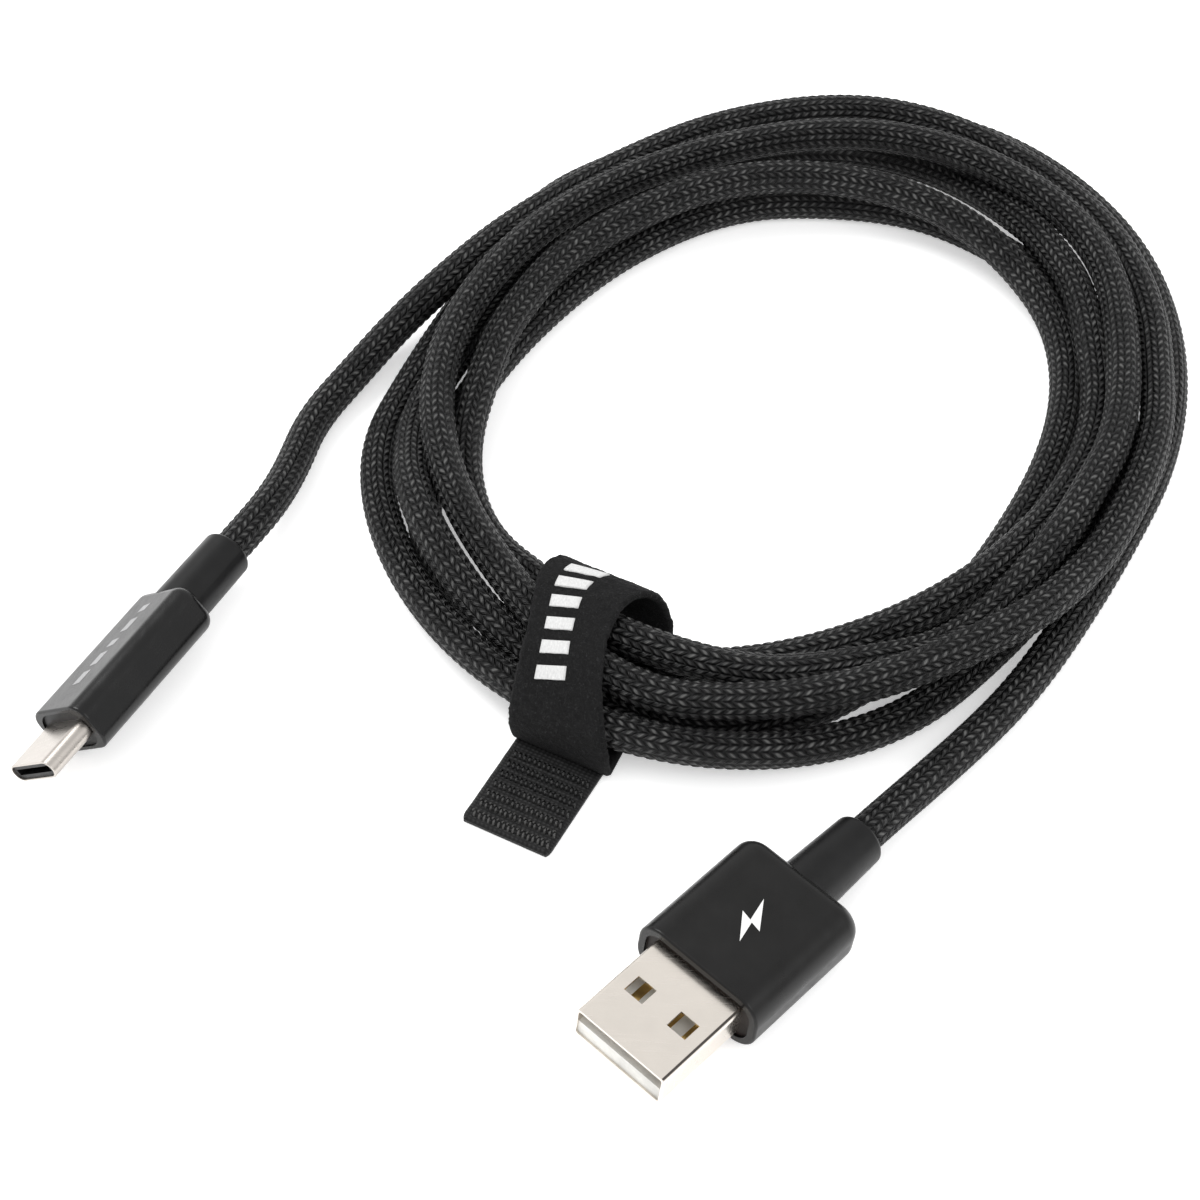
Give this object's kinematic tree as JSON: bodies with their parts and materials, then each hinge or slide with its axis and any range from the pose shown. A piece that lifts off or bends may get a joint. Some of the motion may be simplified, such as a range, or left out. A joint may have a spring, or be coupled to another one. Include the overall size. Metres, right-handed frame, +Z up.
{
  "type": "charging cable",
  "caption": "Braided USB charging cable with a USB-A plug and a USB-C plug, wound in a flat coil and tied with a hook-and-loop strap.",
  "frame": {"origin": "bottom centre of the box round the two plugs and the strap, on the surface that the cable lies on", "axes": "+Z up from the surface; +X runs from the USB-C plug's side to the USB-A plug's side; +Y runs from the plugs towards the coil"},
  "size_m": [0.1413, 0.159, 0.0104],
  "materials": {
    "braided_jacket": "black braided yarn, satin",
    "strap_loop_fabric": "black brushed loop fabric",
    "strap_hook_plastic": "black woven tape with rows of small hooks",
    "plug_shell_metal": "nickel-plated, bright",
    "pale_insulator": "white moulded plastic",
    "dark_insulator": "black moulded plastic",
    "gold_contacts": "gold-plated",
    "housing_satin": "black satin shell",
    "front_insert": "black moulded plastic",
    "inner_mould": "translucent white moulding",
    "boot_rubber": "black satin rubber",
    "ferrule_metal": "tinned steel",
    "circuit_card": "green solder mask",
    "resistor_body": "black ceramic",
    "wire_red": "red insulation",
    "wire_white": "white insulation",
    "wire_green": "green insulation",
    "wire_black": "black insulation"
  },
  "bodies": {
    "root": {"cable_coil": "braided_jacket", "usb_a_lead": "braided_jacket", "usb_c_lead": "braided_jacket", "strap_band": "strap_loop_fabric"},
    "usb_a_plug": {"usb_a_shell": "plug_shell_metal", "usb_a_insulator": "pale_insulator", "usb_a_contacts": "gold_contacts", "usb_a_housing": "housing_satin", "usb_a_front_insert": "front_insert", "usb_a_inner_mould": "inner_mould", "usb_a_strain_relief": "boot_rubber", "usb_a_crimp_ferrule": "ferrule_metal", "usb_a_cable_end": "braided_jacket", "usb_a_wire_power": "wire_red", "usb_a_wire_data_minus": "wire_white", "usb_a_wire_data_plus": "wire_green", "usb_a_wire_ground": "wire_black"},
    "usb_c_plug": {"usb_c_shell": "plug_shell_metal", "usb_c_insulator": "dark_insulator", "usb_c_contacts_upper": "gold_contacts", "usb_c_contacts_lower": "gold_contacts", "usb_c_latch_spring": "plug_shell_metal", "usb_c_paddle_card": "circuit_card", "usb_c_resistor": "resistor_body", "usb_c_housing": "housing_satin", "usb_c_front_insert": "front_insert", "usb_c_inner_mould": "inner_mould", "usb_c_strain_relief": "boot_rubber", "usb_c_crimp_ferrule": "ferrule_metal", "usb_c_cable_end": "braided_jacket", "usb_c_wire_power": "wire_red", "usb_c_wire_data_minus": "wire_white", "usb_c_wire_data_plus": "wire_green", "usb_c_wire_ground": "wire_black"},
    "strap_free_end": {"strap_tab": "strap_loop_fabric", "strap_hook_field": "strap_hook_plastic"}
  },
  "joints": [
    {"name": "usb_a_flex", "type": "hinge", "parent": "root", "child": "usb_a_plug", "pos_m": [0.04565, -0.00511, 0.00362], "axis": [0, 0, 1], "range_deg": [-20, 20], "stiffness_Nm_per_rad": 0.002},
    {"name": "usb_c_flex", "type": "hinge", "parent": "root", "child": "usb_c_plug", "pos_m": [-0.02692, 0.0356, 0.0049], "axis": [0, 0, 1], "range_deg": [-20, 20], "stiffness_Nm_per_rad": 0.002},
    {"name": "strap_lift", "type": "hinge", "parent": "root", "child": "strap_free_end", "pos_m": [0.01333, 0.00821, 0.0009], "axis": [-0.8829, 0.4695, 0], "range_deg": [0, 70]}
  ]
}
